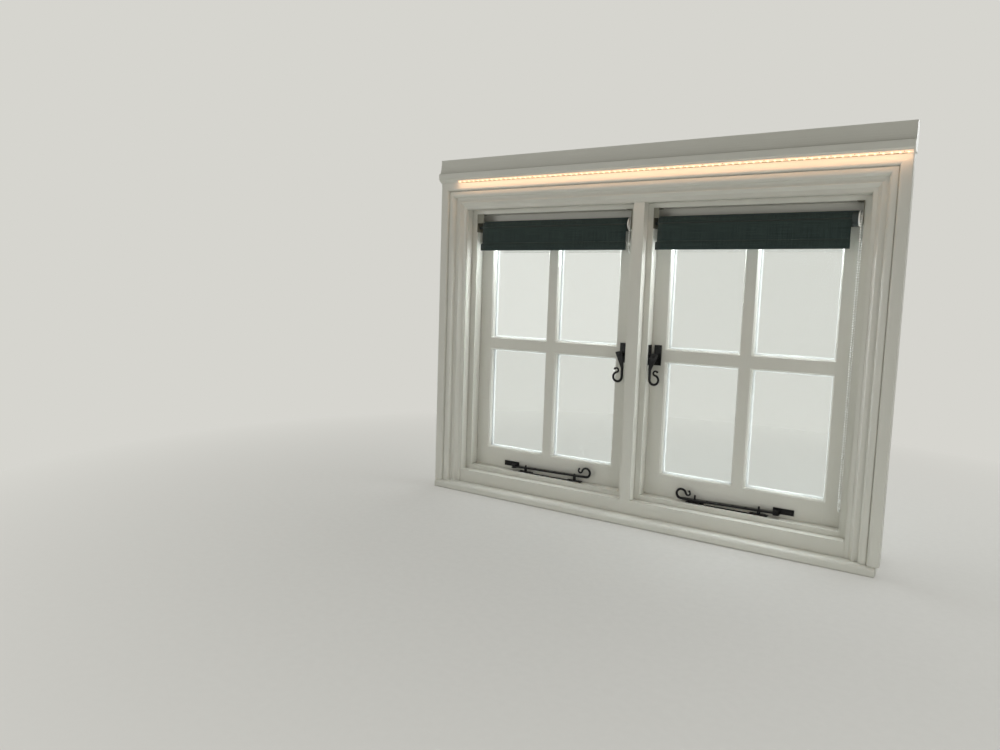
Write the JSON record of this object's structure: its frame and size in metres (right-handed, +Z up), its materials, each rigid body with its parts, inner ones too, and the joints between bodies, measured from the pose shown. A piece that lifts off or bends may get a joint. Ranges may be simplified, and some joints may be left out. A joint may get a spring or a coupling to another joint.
{
  "type": "twin casement window",
  "caption": "Twin casement window with lining, moulded architrave, capping, window board, curly-tail iron fasteners and stays, and roller blinds.",
  "frame": {"origin": "on the plane of the lining's inner face, at the middle of the window board's underside", "axes": "+X along the wall to the right seen from the room, +Y outwards through the wall, +Z up"},
  "size_m": [1.306, 0.192, 1.026],
  "materials": {
    "cream_paint": "satin paint",
    "window_glass": "clear",
    "white_spacer": "powder coated",
    "black_iron": "waxed black",
    "slate_cloth": "matt woven",
    "white_plastic": "satin",
    "bracket_steel": "satin",
    "lamp_tape": "lit, warm white"
  },
  "bodies": {
    "root": {"frame_sill": "cream_paint", "frame_head": "cream_paint", "frame_jamb_left": "cream_paint", "frame_jamb_right": "cream_paint", "frame_mullion": "cream_paint", "mullion_cover": "cream_paint", "lining_head": "cream_paint", "lining_sill": "cream_paint", "lining_jamb_left": "cream_paint", "lining_jamb_right": "cream_paint", "architrave_head": "cream_paint", "architrave_left": "cream_paint", "architrave_right": "cream_paint", "capping": "cream_paint", "lamp_tape": "lamp_tape", "window_board": "cream_paint", "outside_sill": "cream_paint", "casement_left_stiles": "cream_paint", "casement_left_rails": "cream_paint", "casement_left_bars": "cream_paint", "casement_left_glass": "window_glass", "casement_right_stiles": "cream_paint", "casement_right_rails": "cream_paint", "casement_right_bars": "cream_paint", "casement_right_glass": "window_glass", "glazing_spacers": "white_spacer", "hinges": "black_iron", "fastener_plate_left": "black_iron", "fastener_handle_left": "black_iron", "fastener_plate_right": "black_iron", "fastener_handle_right": "black_iron", "fastener_keeps": "black_iron", "stay_bracket_left": "black_iron", "stay_arm_left": "black_iron", "stay_bracket_right": "black_iron", "stay_arm_right": "black_iron", "stay_pegs": "black_iron", "blind_left_roller": "slate_cloth", "blind_left_fabric": "slate_cloth", "blind_left_hem_bar": "slate_cloth", "blind_left_chain": "white_plastic", "blind_right_roller": "slate_cloth", "blind_right_fabric": "slate_cloth", "blind_right_hem_bar": "slate_cloth", "blind_right_chain": "white_plastic", "blind_brackets": "bracket_steel", "chain_guides": "white_plastic"}
  },
  "joints": []
}
